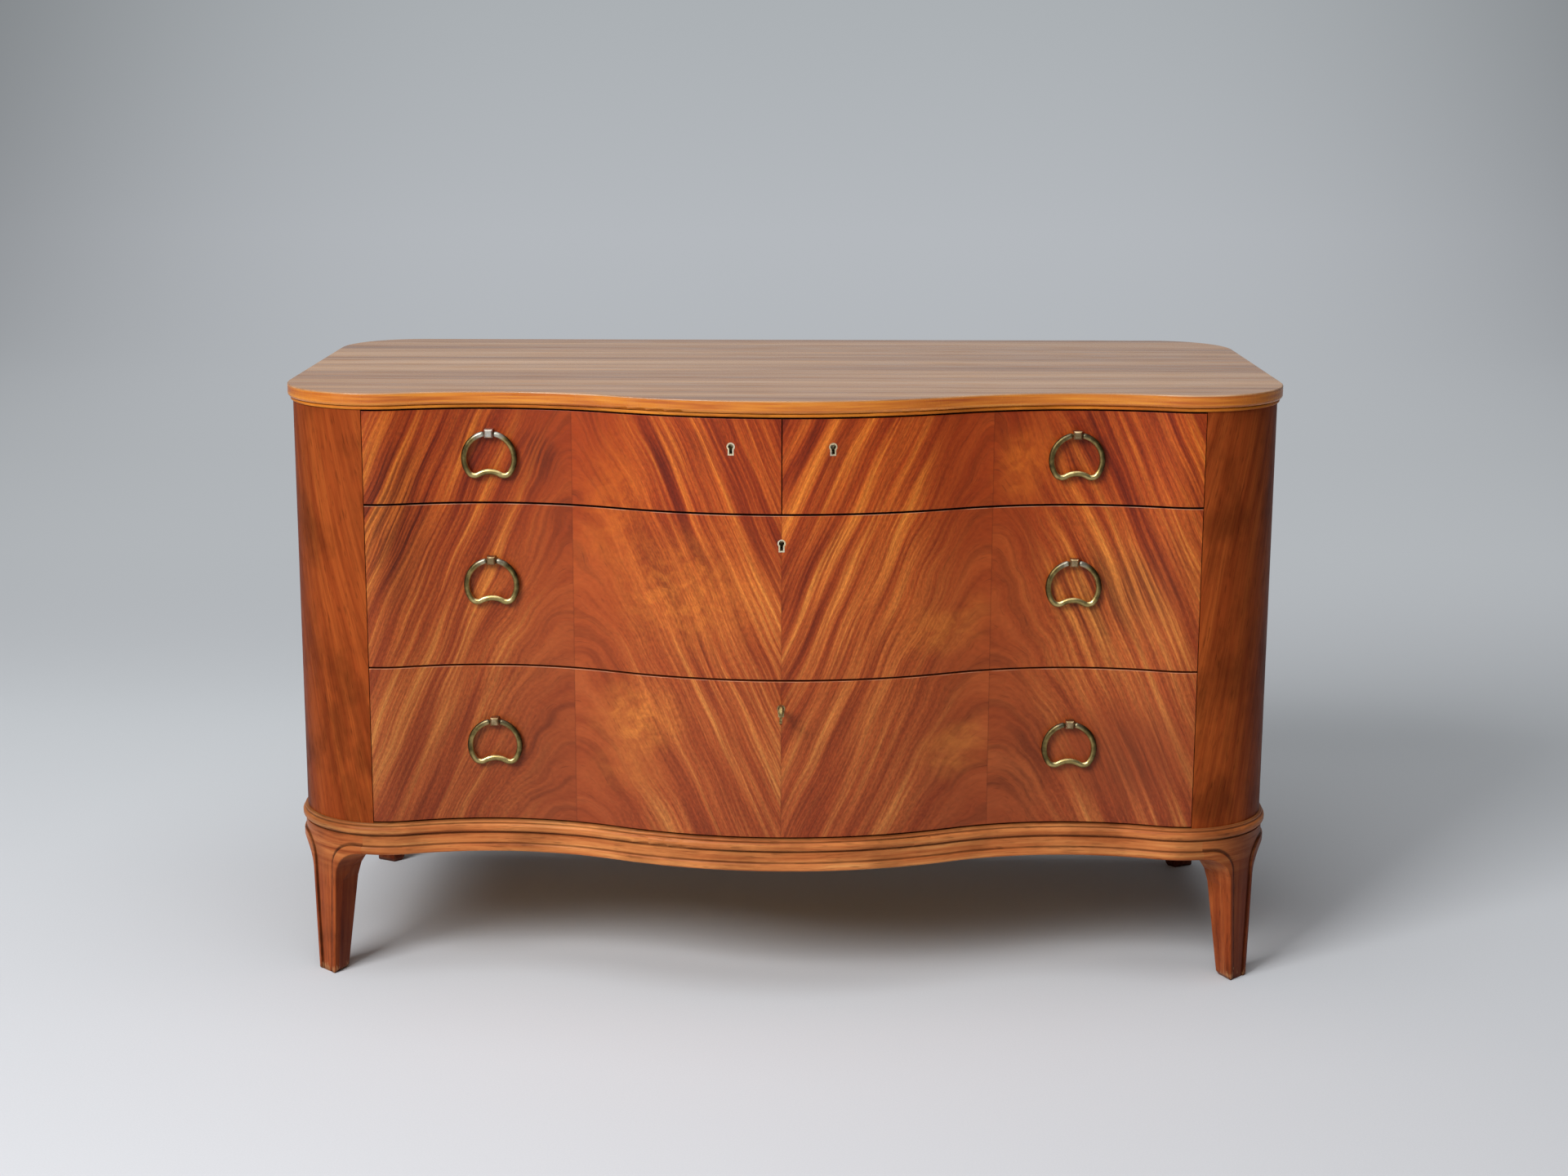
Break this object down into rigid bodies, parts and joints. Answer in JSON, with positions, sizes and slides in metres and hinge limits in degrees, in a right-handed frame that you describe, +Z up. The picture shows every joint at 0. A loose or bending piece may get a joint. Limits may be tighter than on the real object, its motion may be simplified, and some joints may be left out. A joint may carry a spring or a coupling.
{
  "type": "chest of drawers",
  "caption": "Serpentine bow front chest with short and full-width drawers, ring pulls, locks and carved corner legs.",
  "frame": {"origin": "on the floor under the centre of the chest's bounding box", "axes": "+X to the right of someone facing the drawers, along the width; +Y to the back; +Z up"},
  "size_m": [1.2438, 0.6365, 0.755],
  "materials": {
    "figured_mahogany": "polished veneer",
    "post_veneer": "polished veneer",
    "top_veneer": "satin polished veneer",
    "solid_mahogany": "polished",
    "beech": "planed",
    "pine": "planed",
    "birch_ply": "sanded",
    "aged_brass": "patinated",
    "lock_brass": "satin",
    "key_brass": "worn",
    "lock_steel": "ground",
    "screw_steel": "plain"
  },
  "bodies": {
    "case": {"top_panel": "top_veneer", "sub_top": "solid_mahogany", "left_front_post": "post_veneer", "right_front_post": "post_veneer", "left_side_panel": "post_veneer", "right_side_panel": "post_veneer", "rear_posts": "post_veneer", "back_panel": "birch_ply", "bottom_board": "pine", "top_rail": "pine", "drawer_rails": "pine", "centre_divider": "pine", "dust_panels": "birch_ply", "drawer_runners": "pine", "drawer_guides": "pine", "base_frame": "solid_mahogany", "front_apron": "solid_mahogany", "side_aprons": "solid_mahogany", "rear_apron": "solid_mahogany", "front_left_leg": "solid_mahogany", "front_right_leg": "solid_mahogany", "rear_left_leg": "solid_mahogany", "rear_right_leg": "solid_mahogany", "corner_blocks": "pine", "base_screws": "screw_steel"},
    "upper_left_drawer": {"upper_left_drawer_front": "figured_mahogany", "upper_left_drawer_sides": "beech", "upper_left_drawer_back": "beech", "upper_left_drawer_bottom": "birch_ply", "upper_left_lock": "lock_brass", "upper_left_pull_posts": "aged_brass"},
    "upper_left_ring": {"upper_left_pull_ring": "aged_brass"},
    "upper_left_bolt": {"upper_left_lock_bolt": "lock_steel"},
    "upper_right_drawer": {"upper_right_drawer_front": "figured_mahogany", "upper_right_drawer_sides": "beech", "upper_right_drawer_back": "beech", "upper_right_drawer_bottom": "birch_ply", "upper_right_lock": "lock_brass", "upper_right_pull_posts": "aged_brass"},
    "upper_right_ring": {"upper_right_pull_ring": "aged_brass"},
    "upper_right_bolt": {"upper_right_lock_bolt": "lock_steel"},
    "middle_drawer": {"middle_drawer_front": "figured_mahogany", "middle_drawer_sides": "beech", "middle_drawer_back": "beech", "middle_drawer_bottom": "birch_ply", "middle_lock": "lock_brass", "middle_pull_posts": "aged_brass"},
    "middle_left_ring": {"middle_left_pull_ring": "aged_brass"},
    "middle_right_ring": {"middle_right_pull_ring": "aged_brass"},
    "middle_bolt": {"middle_lock_bolt": "lock_steel"},
    "lower_drawer": {"lower_drawer_front": "figured_mahogany", "lower_drawer_sides": "beech", "lower_drawer_back": "beech", "lower_drawer_bottom": "birch_ply", "lower_lock": "lock_brass", "lower_pull_posts": "aged_brass"},
    "lower_left_ring": {"lower_left_pull_ring": "aged_brass"},
    "lower_right_ring": {"lower_right_pull_ring": "aged_brass"},
    "lower_bolt": {"lower_lock_bolt": "lock_steel"},
    "key": {"lower_drawer_key": "key_brass"}
  },
  "joints": [
    {"name": "upper_left_drawer_slide", "type": "slide", "parent": "case", "child": "upper_left_drawer", "axis": [0, -1, 0], "range_m": [0, 0.35]},
    {"name": "upper_left_ring_swing", "type": "hinge", "parent": "upper_left_drawer", "child": "upper_left_ring", "pos_m": [-0.36, -0.20897, 0.7035], "axis": [-1, 0, 0], "range_deg": [0, 85]},
    {"name": "upper_left_bolt_lift", "type": "slide", "parent": "upper_left_drawer", "child": "upper_left_bolt", "axis": [0, 0, 1], "range_m": [0, 0.008]},
    {"name": "upper_right_drawer_slide", "type": "slide", "parent": "case", "child": "upper_right_drawer", "axis": [0, -1, 0], "range_m": [0, 0.35]},
    {"name": "upper_right_ring_swing", "type": "hinge", "parent": "upper_right_drawer", "child": "upper_right_ring", "pos_m": [0.36, -0.20897, 0.7035], "axis": [-1, 0, 0], "range_deg": [0, 85]},
    {"name": "upper_right_bolt_lift", "type": "slide", "parent": "upper_right_drawer", "child": "upper_right_bolt", "axis": [0, 0, 1], "range_m": [0, 0.008]},
    {"name": "middle_drawer_slide", "type": "slide", "parent": "case", "child": "middle_drawer", "axis": [0, -1, 0], "range_m": [0, 0.35]},
    {"name": "middle_left_ring_swing", "type": "hinge", "parent": "middle_drawer", "child": "middle_left_ring", "pos_m": [-0.36, -0.20897, 0.5448], "axis": [-1, 0, 0], "range_deg": [0, 85]},
    {"name": "middle_right_ring_swing", "type": "hinge", "parent": "middle_drawer", "child": "middle_right_ring", "pos_m": [0.36, -0.20897, 0.5448], "axis": [-1, 0, 0], "range_deg": [0, 85]},
    {"name": "middle_bolt_lift", "type": "slide", "parent": "middle_drawer", "child": "middle_bolt", "axis": [0, 0, 1], "range_m": [0, 0.008]},
    {"name": "lower_drawer_slide", "type": "slide", "parent": "case", "child": "lower_drawer", "axis": [0, -1, 0], "range_m": [0, 0.35]},
    {"name": "lower_left_ring_swing", "type": "hinge", "parent": "lower_drawer", "child": "lower_left_ring", "pos_m": [-0.36, -0.20897, 0.3388], "axis": [-1, 0, 0], "range_deg": [0, 85]},
    {"name": "lower_right_ring_swing", "type": "hinge", "parent": "lower_drawer", "child": "lower_right_ring", "pos_m": [0.36, -0.20897, 0.3388], "axis": [-1, 0, 0], "range_deg": [0, 85]},
    {"name": "lower_bolt_lift", "type": "slide", "parent": "lower_drawer", "child": "lower_bolt", "axis": [0, 0, 1], "range_m": [0, 0.008]},
    {"name": "key_turn", "type": "hinge", "parent": "lower_drawer", "child": "key", "pos_m": [0, -0.28825, 0.375], "axis": [0, 1, 0], "range_deg": [0, 180]}
  ],
  "couplings": [
    {"joint": "lower_bolt_lift", "follows": "key_turn", "m_per_rad": 0.0025464}
  ]
}
